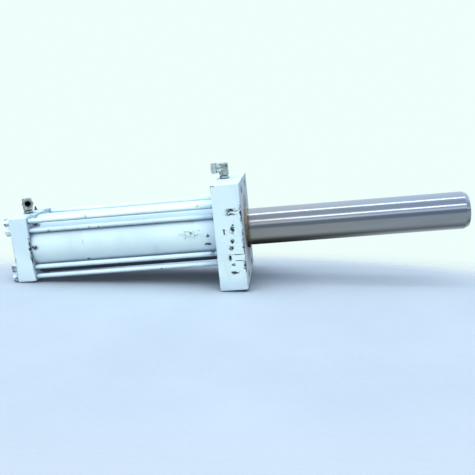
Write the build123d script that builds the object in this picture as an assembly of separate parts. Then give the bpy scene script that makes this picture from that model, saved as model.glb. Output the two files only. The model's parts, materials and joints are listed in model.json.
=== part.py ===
from build123d import *
import math
import os

# Hydraulic cylinder of tie-rod build: a square cap, a tube and a larger square
# flange head, held together by eight tie rods, with its rod run right out.
# Millimetres. X runs along the rod and points out of the rod end. Z is up,
# through both oil ports. The origin is the middle of the head's rod-side face.

# Tube, rod and travel. The room for oil between rod and tube is the annulus.
tube_wall = 25.0
tube_seat = 12.0
tube_bevel = 1.0
rod_diameter = 180.0
annulus = 35.0
stroke = 800.0
rod_left_out = 260.0
end_gap = 0.5

# Head and cap blocks
head_side = 500.0
head_thick = 130.0
block_bevel = 3.0
edge_bevel = 2.0
small_bevel = 1.0

# Mounting holes through the head, for M36 screws
mount_hole = 39.0
mount_across = 250.0
mount_edge = 45.0

# Tie rods, M24: four at the corners of the cap, four against the tube
tie_diameter = 24.0
tie_from_tube = 4.0
tie_angle = 33.45
tie_hole_gap = 1.0
tie_into_head = 40.0
tie_tip = 4.5
nut_wall = 6.0
nut_thick = 21.5
nut_turn_step = 23.0
washer_margin = 1.5
washer_thick = 4.0
washer_bevel = 0.6
cap_margin = 2.0

# Piston and what clamps it on the rod
piston_long = 119.0
piston_gap = 0.5
rod_shoulder = 15.0
piston_nut_wall = 18.0
piston_nut_long = 50.0
piston_nut_recess = 2.0
piston_nut_room = 4.0
spanner_slot_wide = 16.0
spanner_slot_deep = 8.0
lock_screw = 10.0
lock_screw_long = 22.0
lock_socket_deep = 7.0

# End-of-stroke cushions
cushion_step = 9.7
cushion_ring_long = 24.0
cushion_taper_long = 6.0
cushion_taper_deep = 1.5
cushion_gap = 0.3
spear_step = 20.0
spear_long = 34.0
throat_long = 26.0
rear_chamber_room = 10.0
rear_chamber_long = 40.0
rear_chamber_floor = 24.0

# Rings on the piston
wear_ring_wide = 20.0
wear_ring_thick = 4.0
piston_land = 13.5
piston_seal_wide = 12.0
piston_seal_thick = 5.0
energiser_thick = 7.0
ring_play = 0.3
slide_gap = 0.08

# Gland: a bronze bush screwed into the head, with a row of grooves for its rings
gland_wall = 20.0
gland_land = 4.0
gland_bore_gap = 0.4
nose_wall = 8.0
nose_out = 6.0
nose_slot_wide = 14.0
nose_slot_deep = 2.0
nose_slot_long = 4.0
gland_screw = 8.0
gland_screw_long = 14.0
gland_socket_deep = 5.0
gland_ring_from_back = 8.0
guide_thick = 3.0
inner_guide_wide = 14.0
outer_guide_wide = 12.0
buffer_wide = 8.0
buffer_thick = 6.0
buffer_step = 1.5
rod_seal_wide = 14.0
rod_seal_thick = 8.0
rod_seal_notch = 5.0
rod_seal_lip = 1.6
wiper_wide = 10.0
wiper_thick = 5.0
wiper_relief = 1.5
wiper_lip_out = 3.0
wiper_lip_thick = 1.0

# Thread in the rod's end, M125 x 4, drawn at its core size
rod_thread = 125.0
rod_thread_pitch = 4.0
core_per_pitch = 1.0825
rod_thread_deep = 130.0
rod_hole_bevel = 4.0
rod_end_bevel_long = 20.0
rod_end_bevel_deep = 9.0

# Angles that drills and hexagons are cut at
drill_angle = 30.0
hexagon_angle = 30.0

# Round-section rings between parts that don't move on each other
ring_section = 4.0
ring_groove_wide = 5.4
snug = 0.05

# Oil ports, G1, and their elbows, for 30 mm tube
port_thread = 33.2
port_thread_deep = 24.0
port_passage = 22.0
rear_port_from_floor = 2.0
oil_tube = 30.0
oil_tube_wall = 3.0
oil_tube_gap = 0.1
union_tube_gap = 0.4
tube_socket_deep = 8.0
cone_wall = 3.0
cone_deep = 7.0
stud_long = 20.0
elbow_rise = 53.0
elbow_step = 2.0
elbow_round = 4.0
elbow_arm_long = 10.0
elbow_neck_long = 3.0
elbow_relief = 2.0
elbow_thread_wall = 6.0
elbow_thread_long = 15.0
elbow_thread_bevel = 1.5
rear_elbow_turn = -63.0
front_elbow_turn = 180.0
elbow_seal_wall = 3.4
elbow_seal_thick = 4.0
elbow_nut_wall = 3.9
elbow_nut_thick = 10.0
elbow_nut_gap = 3.0
front_elbow_nut_turn = 30.0
union_wall = 4.0
union_gap = 2.0
union_lip = 9.0
union_mouth_long = 3.5

# Air bleeds and cushion adjusters
bleed_from_back = 31.0
bleed_angle = 31.0
bleed_from_bore = 8.4
bleed_thread = 10.0
bleed_deep = 12.0
bleed_hex = 14.0
bleed_hex_thick = 7.0
bleed_nipple = 8.5
bleed_nipple_out = 12.0
bleed_drill = 4.0
plug_thread = 13.0
plug_deep = 12.0
plug_head = 22.0
plug_head_thick = 6.0
plug_socket_deep = 4.0
plug_socket = 6.5
plug_up = 45.0
plug_from_face = 95.0
plug_drill = 6.0
adjuster_thread = 20.0
adjuster_deep = 30.0
adjuster_hex = 27.0
adjuster_hex_thick = 9.0
adjuster_drill = 8.0
needle_diameter = 10.0
needle_out = 10.0
needle_socket = 5.0
needle_socket_deep = 5.0
rear_adjuster_from_back = 45.0
front_adjuster_from_face = 90.0

# Sizes that follow for the tube, the blocks and the tie rods
bore = rod_diameter + 2 * annulus
tube_outer = bore + 2 * tube_wall
tube_shown = stroke + piston_long + 2 * end_gap
cap_thick = throat_long + rear_chamber_long + rear_chamber_floor
r_tie_circle = tube_outer / 2 + tie_from_tube + tie_diameter / 2
tie_across = 2 * r_tie_circle * math.cos(math.radians(tie_angle))
tie_inner_up = 2 * r_tie_circle * math.sin(math.radians(tie_angle))
nut_flats = tie_diameter + 2 * nut_wall
washer_outer = nut_flats + 2 * washer_margin
cap_side = tie_across + washer_outer + 2 * cap_margin
mount_up = head_side - 2 * mount_edge
rod_out = stroke + rod_left_out

# Sizes that follow for the piston, its cushions and the gland
piston_diameter = bore - 2 * piston_gap
rod_neck = rod_diameter - 2 * rod_shoulder
piston_nut_outer = rod_neck + 2 * piston_nut_wall
cushion_ring_outer = rod_diameter + 2 * cushion_step
spear_diameter = rod_neck - 2 * spear_step
rear_chamber = spear_diameter + 2 * rear_chamber_room
wear_ring_spread = piston_long - wear_ring_wide - 2 * piston_land
gland_outer = rod_diameter + 2 * gland_wall
nose_outer = rod_diameter + 2 * nose_wall

# Places of the gland's rings, counted back from its nose with a land between each two
x_wiper_back = nose_out - wiper_wide
x_outer_guide = x_wiper_back - gland_land - outer_guide_wide / 2
x_rod_seal = x_outer_guide - outer_guide_wide / 2 - gland_land - rod_seal_wide / 2
x_buffer = x_rod_seal - rod_seal_wide / 2 - gland_land - buffer_wide / 2
x_inner_guide = x_buffer - buffer_wide / 2 - gland_land - inner_guide_wide / 2
x_gland_back = x_inner_guide - inner_guide_wide / 2 - gland_land
x_gland_ring = x_gland_back + gland_ring_from_back

# Sizes that follow for the elbows
elbow_flow = oil_tube - 2 * oil_tube_wall
tube_socket = oil_tube + 2 * oil_tube_gap
elbow_thread = oil_tube + 2 * elbow_thread_wall
elbow_body = elbow_thread + 2 * elbow_step
elbow_neck = elbow_thread - 2 * elbow_relief
cone_mouth = elbow_thread - 2 * cone_wall
elbow_base_up = elbow_seal_thick + elbow_nut_thick + elbow_nut_gap
elbow_shoulder = elbow_body / 2 + elbow_arm_long
elbow_reach = elbow_shoulder + elbow_neck_long + elbow_thread_long
elbow_seal_outer = port_thread + 2 * elbow_seal_wall
elbow_nut_flats = port_thread + 2 * elbow_nut_wall
union_flats = elbow_thread + 2 * union_wall
union_back = elbow_shoulder + union_gap
union_reach = elbow_reach + union_lip
union_opening = oil_tube + 2 * union_tube_gap

# Stations along X that follow from the sizes
x_head_back = -head_thick
x_cap_front = x_head_back - tube_shown
x_cap_back = x_cap_front - cap_thick
x_throat = x_cap_front - throat_long
x_chamber_back = x_throat - rear_chamber_long
x_piston_front = x_head_back - end_gap
x_piston_back = x_piston_front - piston_long
x_piston_middle = x_piston_front - piston_long / 2
x_shoulder = x_piston_front + cushion_ring_long
x_nut_back = x_piston_back + piston_nut_recess
x_nut_front = x_nut_back + piston_nut_long
x_inner_seal = (x_piston_front + x_nut_front) / 2
x_rear_port = x_chamber_back + port_passage / 2 + rear_port_from_floor
x_front_port = x_gland_back - gland_land - port_passage / 2
x_bleed = x_cap_back + bleed_from_back

# Radii and heights that several pieces share
r_bore = bore / 2
r_rod = rod_diameter / 2
r_neck = rod_neck / 2
r_spear = spear_diameter / 2
r_chamber = cushion_ring_outer / 2 + cushion_gap
r_gland = gland_outer / 2
r_stud = port_thread / 2
r_seals = r_rod + slide_gap
r_rings = r_bore - slide_gap
r_rod_hole = (rod_thread - core_per_pitch * rod_thread_pitch) / 2
r_nut_screw = (r_neck + piston_nut_outer / 2) / 2
bleed_across = (r_bore - bleed_from_bore) * math.cos(math.radians(bleed_angle))
bleed_drill_up = (r_bore - bleed_from_bore) * math.sin(math.radians(bleed_angle))
tie_places = [
    (side * tie_across / 2, height / 2)
    for side in (-1, 1)
    for height in (tie_across, tie_inner_up, -tie_inner_up, -tie_across)
]

on_base = (Align.CENTER, Align.CENTER, Align.MIN)


def turned(*outline):
    """A solid turned about the X axis, from an outline of (x, radius) points."""
    return revolve(make_face(Plane.XZ * Polyline(*outline, close=True)), Axis.X)


def bar(x_low, x_high, radius, y=0.0, z=0.0, bevel=0.0):
    """A round bar along X, with both ends bevelled if asked."""
    outline = [(x_low, 0), (x_low, radius), (x_high, radius), (x_high, 0)]
    if bevel:
        outline[1:3] = [
            (x_low, radius - bevel), (x_low + bevel, radius),
            (x_high - bevel, radius), (x_high, radius - bevel),
        ]
    return Pos(0, y, z) * turned(*outline)


def ring(x_low, x_high, r_inner, r_outer, bevel=0.0):
    """A flat ring about X, with its outer corners bevelled if asked."""
    outline = [(x_low, r_inner), (x_low, r_outer), (x_high, r_outer), (x_high, r_inner)]
    if bevel:
        outline[1:3] = [
            (x_low, r_outer - bevel), (x_low + bevel, r_outer),
            (x_high - bevel, r_outer), (x_high, r_outer - bevel),
        ]
    return turned(*outline)


def round_ring(x, r_middle):
    """A ring of round section about X."""
    return Pos(x, 0, 0) * Rot(0, 90, 0) * Torus(r_middle, ring_section / 2)


def groove(x, r_inner, r_outer, wide):
    """The room for a ring about X, to be cut away."""
    return ring(x - wide / 2, x + wide / 2, r_inner, r_outer)


def hexagon(x_low, x_high, flats, turn=0.0):
    """A hexagon bar along X whose outer end is bevelled as nuts and screw heads are."""
    outline = Plane.YZ.offset(x_low) * Rot(0, 0, turn) * RegularPolygon(flats / 2, 6, major_radius=False)
    corner = flats / math.sqrt(3)
    slope = (corner - flats / 2) * math.tan(math.radians(hexagon_angle))
    cone = turned(
        (x_low, 0), (x_low, corner), (x_high - slope, corner),
        (x_high, flats / 2), (x_high, 0),
    )
    return extrude(outline, x_high - x_low) & cone


def upright(solid):
    """Turns a piece that lies along X so that it stands along Z."""
    return Rot(0, -90, 0) * solid


def sideways(solid):
    """Turns a piece that lies along X so that it lies along Y."""
    return Rot(0, 0, 90) * solid


def block(x_low, x_high, side):
    """A square block across X with bevelled edges."""
    solid = Pos(x_low, 0, 0) * Rot(0, 90, 0) * Box(side, side, x_high - x_low, align=on_base)
    return chamfer(solid.edges(), block_bevel)


def tube_groove(x_face, direction):
    """The groove in a block's face that holds one end of the tube, with a seal groove on its inner wall."""
    x_floor = x_face + direction * tube_seat
    x_seal = x_face + direction * tube_seat / 2
    low, high = sorted((x_face, x_floor))
    seat = ring(low, high, r_bore - snug, tube_outer / 2 + snug)
    return seat + groove(x_seal, r_bore - ring_section, r_bore, ring_groove_wide)


def port(x, z_face, z_low):
    """A tapped port in a block's top face and the passage below it."""
    tapped = Pos(x, 0, z_face - port_thread_deep) * Cylinder(r_stud + snug, port_thread_deep, align=on_base)
    passage = Pos(x, 0, z_low) * Cylinder(port_passage / 2, z_face - z_low, align=on_base)
    return tapped + passage


def side_hole(x, z, y_face, thread, deep, drill, y_low):
    """A tapped hole in a block's far side and the drilling from it to the chamber inside."""
    tapped = bar(y_face - deep, y_face, thread / 2 + snug)
    drilling = bar(y_low, y_face, drill / 2)
    return Pos(x, 0, z) * sideways(tapped + drilling)


def make_cap():
    """The rear cap: tie rods pass through it, and the spear enters its middle."""
    cap = block(x_cap_back, x_cap_front, cap_side)
    throat = r_spear + cushion_gap
    cap -= tube_groove(x_cap_front, -1)
    cap -= turned(
        (x_cap_front, 0), (x_cap_front, throat + cushion_taper_deep),
        (x_cap_front - cushion_taper_long, throat), (x_throat, throat), (x_throat, 0),
    )
    cap -= bar(x_chamber_back, x_throat, rear_chamber / 2)
    for y, z in tie_places:
        cap -= bar(x_cap_back, x_cap_front, tie_diameter / 2 + tie_hole_gap, y, z)
    cap -= port(x_rear_port, cap_side / 2, r_spear)
    cap -= side_hole(x_cap_back + rear_adjuster_from_back, 0, cap_side / 2, adjuster_thread,
                     adjuster_deep, adjuster_drill, r_spear)
    cap -= Pos(x_bleed, bleed_across, cap_side / 2) * upright(bar(-bleed_deep, 0, bleed_thread / 2 + snug))
    cap -= Pos(x_bleed, bleed_across, 0) * upright(bar(bleed_drill_up, cap_side / 2, bleed_drill / 2))
    cap -= bar(x_bleed, x_cap_front, bleed_drill / 2, bleed_across, bleed_drill_up)
    return cap


def make_head():
    """The flange head: the gland screws into its front and the tie rods into its back."""
    head = block(x_head_back, 0, head_side)
    head -= tube_groove(x_head_back, 1)
    head -= turned(
        (0, 0), (0, r_gland + snug), (x_gland_back, r_gland + snug), (x_gland_back, r_chamber),
        (x_head_back + cushion_taper_long, r_chamber), (x_head_back, r_chamber + cushion_taper_deep),
        (x_head_back, 0),
    )
    for y, z in tie_places:
        head -= bar(x_head_back, x_head_back + tie_into_head + edge_bevel, tie_diameter / 2 + snug, y, z)
    for y in (-mount_across / 2, mount_across / 2):
        for z in (-mount_up / 2, mount_up / 2):
            head -= bar(x_head_back, 0, mount_hole / 2, y, z)
    head -= port(x_front_port, head_side / 2, r_rod)
    head -= side_hole(-front_adjuster_from_face, 0, head_side / 2, adjuster_thread,
                      adjuster_deep, adjuster_drill, r_rod)
    head -= side_hole(-plug_from_face, plug_up, head_side / 2, plug_thread, plug_deep, plug_drill, r_neck)
    head -= gland_screw_hole()
    return head


def make_tube():
    """The honed tube, bevelled inside at both ends so that the rings enter."""
    low, high = x_cap_front - tube_seat, x_head_back + tube_seat
    r_outer = tube_outer / 2
    return turned(
        (low, r_bore + tube_bevel), (low, r_outer - tube_bevel), (low + tube_bevel, r_outer),
        (high - tube_bevel, r_outer), (high, r_outer - tube_bevel), (high, r_bore + tube_bevel),
        (high - tube_bevel, r_bore), (low + tube_bevel, r_bore),
    )


def make_tie_rod(y, z):
    """One tie rod, from its tip behind the nut to its end in the head."""
    tip = x_cap_back - washer_thick - nut_thick - tie_tip
    return bar(tip, x_head_back + tie_into_head, tie_diameter / 2, y, z, edge_bevel)


def make_washer(y, z):
    """The hard washer under one tie rod nut."""
    r_hole = tie_diameter / 2 + snug
    washer = ring(x_cap_back - washer_thick, x_cap_back, r_hole, washer_outer / 2, washer_bevel)
    return Pos(0, y, z) * washer


def make_nut(y, z, turn):
    """One tie rod nut, bevelled on its outer face."""
    face = x_cap_back - washer_thick
    nut = hexagon(0, nut_thick, nut_flats, turn) - bar(0, nut_thick, tie_diameter / 2 + snug)
    return Pos(face, y, z) * Rot(0, 180, 0) * nut


def gland_screw_hole():
    """The hole on the joint between gland and head that the locking screw turns in."""
    return bar(-gland_screw_long, 0, gland_screw / 2 + snug, 0, r_gland)


def make_gland():
    """The bronze gland with its row of grooves, from the chamber side to the wiper."""
    r_hole = r_rod + gland_bore_gap
    gland = turned(
        (x_gland_back, r_hole), (x_gland_back, r_gland - edge_bevel), (x_gland_back + edge_bevel, r_gland),
        (0, r_gland), (0, nose_outer / 2), (nose_out - edge_bevel, nose_outer / 2),
        (nose_out, nose_outer / 2 - edge_bevel), (nose_out, r_hole),
    )
    for x, wide, thick in (
        (x_inner_guide, inner_guide_wide, guide_thick), (x_outer_guide, outer_guide_wide, guide_thick),
        (x_buffer, buffer_wide, buffer_thick), (x_rod_seal, rod_seal_wide, rod_seal_thick),
    ):
        gland -= groove(x, r_rod, r_seals + thick, wide)
    gland -= ring(x_wiper_back, nose_out, r_rod, r_seals + wiper_thick)
    gland -= groove(x_gland_ring, r_gland - ring_section, r_gland + snug, ring_groove_wide)
    for quarter in range(4):
        slot = Box(2 * nose_slot_long, nose_slot_wide, 2 * nose_slot_deep)
        gland -= Rot(90 * quarter + 45, 0, 0) * Pos(nose_out, 0, nose_outer / 2) * slot
    gland -= gland_screw_hole()
    return gland


def make_gland_screw():
    """The grub screw that locks the gland in the head."""
    screw = bar(-gland_screw_long, 0, gland_screw / 2, 0, r_gland)
    return screw - Pos(0, 0, r_gland) * hexagon(-gland_socket_deep, 0, gland_screw / 2)


def make_rod_guide(x, wide):
    """A guide ring in the gland, which the rod slides in."""
    return ring(x - wide / 2, x + wide / 2, r_seals, r_seals + guide_thick)


def make_buffer_seal():
    """The step-shaped seal that meets the pressure first."""
    low, high = x_buffer - buffer_wide / 2, x_buffer + buffer_wide / 2
    return turned(
        (low, r_seals + buffer_step), (low, r_seals + buffer_thick), (high, r_seals + buffer_thick),
        (high, r_seals), (x_buffer, r_seals), (x_buffer, r_seals + buffer_step),
    )


def make_rod_seal():
    """The main rod seal, with two lips that open towards the oil."""
    r_out = r_seals + rod_seal_thick
    r_back = r_seals + rod_seal_lip / 2
    low, high = x_rod_seal - rod_seal_wide / 2, x_rod_seal + rod_seal_wide / 2
    notch = (low + rod_seal_notch, (r_seals + r_out) / 2)
    return turned(
        (low, r_seals), (low, r_seals + rod_seal_lip), notch, (low, r_out - rod_seal_lip),
        (low, r_out), (high, r_out), (high, r_back), (low + rod_seal_notch, r_back),
    )


def make_wiper():
    """The wiper in the gland's nose, with its lip standing out along the rod."""
    tip = nose_out + wiper_lip_out
    r_back = r_seals + wiper_relief
    return turned(
        (x_wiper_back, r_back), (x_wiper_back, r_seals + wiper_thick), (nose_out, r_seals + wiper_thick),
        (nose_out, r_seals + wiper_thick / 2), (tip, r_seals + wiper_lip_thick), (tip, r_seals),
        (nose_out - wiper_relief, r_back),
    )


def make_rod():
    """The piston rod: threaded end, ground length, neck for the piston, and the spear."""
    x_spear = x_piston_back - spear_long
    rod = turned(
        (rod_out, 0), (rod_out, r_rod - rod_end_bevel_deep), (rod_out - rod_end_bevel_long, r_rod),
        (x_shoulder, r_rod), (x_shoulder, r_neck), (x_nut_back, r_neck), (x_nut_back, r_spear),
        (x_spear + cushion_taper_long, r_spear), (x_spear, r_spear - cushion_taper_deep), (x_spear, 0),
    )
    x_floor = rod_out - rod_thread_deep
    return rod - turned(
        (rod_out, 0), (rod_out, r_rod_hole + rod_hole_bevel), (rod_out - rod_hole_bevel, r_rod_hole),
        (x_floor, r_rod_hole), (x_floor - r_rod_hole * math.tan(math.radians(drill_angle)), 0),
    )


def piston_groove(x, wide, thick):
    """The groove for one ring on the piston, with play on both sides and below it."""
    return groove(x, r_rings - thick - ring_play, r_bore, wide + 2 * ring_play)


def make_piston():
    """The piston, hollowed at its back for the nut."""
    r_piston = piston_diameter / 2
    r_room = piston_nut_outer / 2 + piston_nut_room
    piston = turned(
        (x_piston_front, r_neck + snug), (x_piston_front, r_piston - edge_bevel),
        (x_piston_front - edge_bevel, r_piston), (x_piston_back + edge_bevel, r_piston),
        (x_piston_back, r_piston - edge_bevel), (x_piston_back, r_room),
        (x_nut_front, r_room), (x_nut_front, r_neck + snug),
    )
    for x in (x_piston_middle - wear_ring_spread / 2, x_piston_middle + wear_ring_spread / 2):
        piston -= piston_groove(x, wear_ring_wide, wear_ring_thick)
    piston -= piston_groove(x_piston_middle, piston_seal_wide, piston_seal_thick + energiser_thick)
    return piston - groove(x_inner_seal, r_neck, r_neck + ring_section, ring_groove_wide)


def make_piston_ring(x, wide, r_outer, thick):
    """A ring on the piston: a wear ring, the slide ring or its energiser."""
    return ring(x - wide / 2, x + wide / 2, r_outer - thick, r_outer)


def make_piston_nut():
    """The round nut that clamps the piston, with four spanner slots and two holes for locking screws."""
    r_outer = piston_nut_outer / 2
    nut = ring(x_nut_back, x_nut_front, r_neck + snug, r_outer, edge_bevel)
    for quarter in range(4):
        slot = Box(2 * spanner_slot_wide, spanner_slot_wide, 2 * spanner_slot_deep)
        nut -= Rot(90 * quarter, 0, 0) * Pos(x_nut_back, 0, r_outer) * slot
    for side in (-1, 1):
        nut -= bar(x_nut_back, x_nut_back + lock_screw_long, lock_screw / 2 + snug, side * r_nut_screw)
    return nut


def make_nut_screw(side):
    """One locking screw in the piston nut."""
    screw = bar(x_nut_back, x_nut_back + lock_screw_long, lock_screw / 2, side * r_nut_screw)
    socket = hexagon(x_nut_back, x_nut_back + lock_socket_deep, lock_screw / 2)
    return screw - Pos(0, side * r_nut_screw, 0) * socket


def make_cushion_ring():
    """The ring between shoulder and piston that closes the head's chamber near the end of the stroke."""
    r_outer = cushion_ring_outer / 2
    return turned(
        (x_piston_front, r_neck + snug), (x_piston_front, r_outer),
        (x_shoulder - cushion_taper_long, r_outer), (x_shoulder, r_outer - cushion_taper_deep),
        (x_shoulder, r_neck + snug),
    )


def along_arm(solid):
    """Lifts a piece that lies along X to the height of the elbow's arm."""
    return Pos(0, 0, elbow_rise) * solid


def make_elbow():
    """A port elbow standing on z = 0, with its stud below and its arm along X."""
    r_body = elbow_body / 2
    post = upright(bar(elbow_base_up, elbow_rise + r_body, r_body))
    post = fillet(post.edges().filter_by(GeomType.CIRCLE), elbow_round)
    arm = along_arm(bar(0, elbow_shoulder, r_body))
    x_thread = elbow_shoulder + elbow_neck_long
    neck = along_arm(bar(elbow_shoulder, x_thread, elbow_neck / 2))
    thread = along_arm(bar(x_thread, elbow_reach, elbow_thread / 2, bevel=elbow_thread_bevel))
    stud = upright(bar(-stud_long, elbow_base_up + elbow_round, r_stud))
    flow = upright(bar(-stud_long, elbow_rise, elbow_flow / 2))
    flow += along_arm(bar(0, elbow_reach, elbow_flow / 2))
    flow += Pos(0, 0, elbow_rise) * Sphere(elbow_flow / 2)
    x_cone = elbow_reach - cone_deep
    x_socket = x_cone - tube_socket_deep
    socket = along_arm(turned(
        (x_socket, 0), (x_socket, tube_socket / 2), (x_cone, tube_socket / 2),
        (elbow_reach, cone_mouth / 2), (elbow_reach, 0),
    ))
    return post + arm + neck + thread + stud - flow - socket


def make_elbow_nut(turn):
    """The nut that locks the elbow's stud in the port."""
    low, high = elbow_seal_thick, elbow_seal_thick + elbow_nut_thick
    return upright(hexagon(low, high, elbow_nut_flats, turn) - bar(low, high, r_stud + snug))


def make_elbow_seal():
    """The sealing ring under the elbow's nut."""
    return upright(ring(0, elbow_seal_thick, r_stud + snug, elbow_seal_outer / 2, washer_bevel))


def make_union_nut():
    """The nut that turns freely on the elbow's thread and takes the oil tube."""
    r_thread = elbow_thread / 2 + ring_play
    x_wall = elbow_reach + ring_play
    hollow = turned(
        (union_back, 0), (union_back, r_thread), (x_wall, r_thread),
        (union_reach - union_mouth_long, union_opening / 2),
        (union_reach, union_opening / 2), (union_reach, 0),
    )
    return along_arm(hexagon(union_back, union_reach, union_flats) - hollow)


def at_rear_port(solid):
    """Moves a fitting to the port on the cap and turns it as it stands there."""
    return Pos(x_rear_port, 0, cap_side / 2) * Rot(0, 0, rear_elbow_turn) * solid


def at_front_port(solid):
    """Moves a fitting to the port on the head and turns it as it stands there."""
    return Pos(x_front_port, 0, head_side / 2) * Rot(0, 0, front_elbow_turn) * solid


def make_bleed_screw():
    """The air bleed on the cap: thread, hexagon and nipple."""
    thread = bar(-bleed_deep, 0, bleed_thread / 2)
    head = hexagon(0, bleed_hex_thick, bleed_hex)
    nipple = bar(0, bleed_hex_thick + bleed_nipple_out, bleed_nipple / 2, bevel=small_bevel)
    screw = upright(thread + head + nipple)
    return Pos(x_bleed, bleed_across, cap_side / 2) * screw


def make_bleed_plug():
    """The socket plug in the head's far side, where air is let out of the rod chamber."""
    plug = bar(-plug_deep, 0, plug_thread / 2) + bar(0, plug_head_thick, plug_head / 2)
    plug -= hexagon(plug_head_thick - plug_socket_deep, plug_head_thick, plug_socket)
    return Pos(-plug_from_face, head_side / 2, plug_up) * sideways(plug)


def make_adjuster(x, y_face):
    """The threaded body that carries one cushion needle."""
    body = bar(-adjuster_deep, 0, adjuster_thread / 2) + hexagon(0, adjuster_hex_thick, adjuster_hex)
    body -= bar(-adjuster_deep, adjuster_hex_thick, needle_diameter / 2 + snug)
    return Pos(x, y_face, 0) * sideways(body)


def make_needle(x, y_face):
    """One cushion needle, with a socket in its end for a key."""
    high = adjuster_hex_thick + needle_out
    needle = bar(-adjuster_deep, high, needle_diameter / 2, bevel=small_bevel)
    needle -= hexagon(high - needle_socket_deep, high, needle_socket)
    return Pos(x, y_face, 0) * sideways(needle)


def make_barrel_parts():
    """Everything that stays with the cap, tube and head."""
    r_boss_ring = r_bore - ring_section / 2
    parts = {
        "rear_cap": make_cap(),
        "cylinder_tube": make_tube(),
        "front_head": make_head(),
        "tube_seal_rear": round_ring(x_cap_front - tube_seat / 2, r_boss_ring),
        "tube_seal_front": round_ring(x_head_back + tube_seat / 2, r_boss_ring),
        "tie_rod_washers": Compound([make_washer(y, z) for y, z in tie_places]),
        "tie_rod_nuts": Compound([
            make_nut(y, z, nut_turn_step * place) for place, (y, z) in enumerate(tie_places)
        ]),
    }
    for number, (y, z) in enumerate(tie_places, 1):
        parts[f"tie_rod_{number}"] = make_tie_rod(y, z)
    return parts


def make_gland_parts():
    """The gland and the rings that it holds."""
    return {
        "gland": make_gland(),
        "gland_seal": round_ring(x_gland_ring, r_gland - ring_section / 2),
        "gland_lock_screw": make_gland_screw(),
        "rod_guide_inner": make_rod_guide(x_inner_guide, inner_guide_wide),
        "rod_guide_outer": make_rod_guide(x_outer_guide, outer_guide_wide),
        "buffer_seal": make_buffer_seal(),
        "rod_seal": make_rod_seal(),
        "rod_wiper": make_wiper(),
    }


def make_rod_parts():
    """The rod, the piston and what turns with them."""
    return {
        "piston_rod": make_rod(),
        "piston": make_piston(),
        "piston_nut": make_piston_nut(),
        "nut_lock_screws": Compound([make_nut_screw(side) for side in (-1, 1)]),
        "cushion_ring": make_cushion_ring(),
        "piston_inner_seal": round_ring(x_inner_seal, r_neck + ring_section / 2),
    }


def make_ring_parts():
    """The rings that slide in the tube and that the piston turns in."""
    half = wear_ring_spread / 2
    wear_ring = (wear_ring_wide, r_rings, wear_ring_thick)
    return {
        "wear_ring_front": make_piston_ring(x_piston_middle + half, *wear_ring),
        "wear_ring_rear": make_piston_ring(x_piston_middle - half, *wear_ring),
        "piston_seal": make_piston_ring(x_piston_middle, piston_seal_wide, r_rings, piston_seal_thick),
        "seal_energiser": make_piston_ring(
            x_piston_middle, piston_seal_wide, r_rings - piston_seal_thick, energiser_thick),
    }


def make_port_parts():
    """Both elbows with their nuts and seals."""
    parts = {}
    for name, place, turn in (("rear", at_rear_port, 0), ("front", at_front_port, front_elbow_nut_turn)):
        parts[f"{name}_elbow"] = place(make_elbow())
        parts[f"{name}_elbow_nut"] = place(make_elbow_nut(turn))
        parts[f"{name}_elbow_seal"] = place(make_elbow_seal())
        parts[f"{name}_union_nut"] = place(make_union_nut())
    return parts


def make_service_parts():
    """Air bleeds and cushion adjusters."""
    rear = (x_cap_back + rear_adjuster_from_back, cap_side / 2)
    front = (-front_adjuster_from_face, head_side / 2)
    return {
        "bleed_screw": make_bleed_screw(),
        "bleed_plug": make_bleed_plug(),
        "rear_adjuster": make_adjuster(*rear),
        "rear_needle": make_needle(*rear),
        "front_adjuster": make_adjuster(*front),
        "front_needle": make_needle(*front),
    }


os.makedirs("parts", exist_ok=True)
groups = (
    make_barrel_parts, make_gland_parts, make_rod_parts,
    make_ring_parts, make_port_parts, make_service_parts,
)
for make_group in groups:
    for node, solid in make_group().items():
        export_step(solid, f"parts/{node}.step")
        print(node)
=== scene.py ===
# %% [markdown]
# # A hydraulic cylinder, finished for its portrait
# The cylinder arrives as a set of solids at their real size: a square cap, a tube, a larger
# square head, eight tie rods, a chromed rod and what is inside. This lesson gives each of them
# the finish that years in a workshop left on it, and models what plain solids can't show, such
# as screw threads, a bead of grease and a smooth chromed rod. Lengths are in metres.

# %% Load the solids
import json
import math
import bpy
from mathutils import Matrix, Vector


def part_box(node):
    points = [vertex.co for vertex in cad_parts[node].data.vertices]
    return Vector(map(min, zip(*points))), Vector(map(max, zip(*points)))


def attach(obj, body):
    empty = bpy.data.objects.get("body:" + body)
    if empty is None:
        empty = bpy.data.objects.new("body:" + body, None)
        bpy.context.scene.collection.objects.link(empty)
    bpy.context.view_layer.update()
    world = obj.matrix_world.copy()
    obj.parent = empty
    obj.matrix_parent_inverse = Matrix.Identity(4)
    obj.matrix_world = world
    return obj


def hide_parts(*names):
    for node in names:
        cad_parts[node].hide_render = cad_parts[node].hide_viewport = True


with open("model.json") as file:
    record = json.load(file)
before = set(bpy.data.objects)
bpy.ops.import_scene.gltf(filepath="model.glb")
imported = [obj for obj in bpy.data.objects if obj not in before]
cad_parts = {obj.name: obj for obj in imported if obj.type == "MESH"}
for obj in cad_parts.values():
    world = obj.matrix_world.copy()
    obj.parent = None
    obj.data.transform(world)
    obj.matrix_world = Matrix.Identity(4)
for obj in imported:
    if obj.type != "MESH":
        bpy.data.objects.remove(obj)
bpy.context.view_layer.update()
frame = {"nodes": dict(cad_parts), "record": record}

# %% [markdown]
# ## Sizes taken from the solids
# Nothing is placed by eye where a solid can say where it is. The head's box gives its faces,
# the rod's box gives its length and radius, and one tie rod gives the places of all eight.
# Whatever a box can't tell, such as a bevel or a thread, is a named value beside it.

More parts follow.
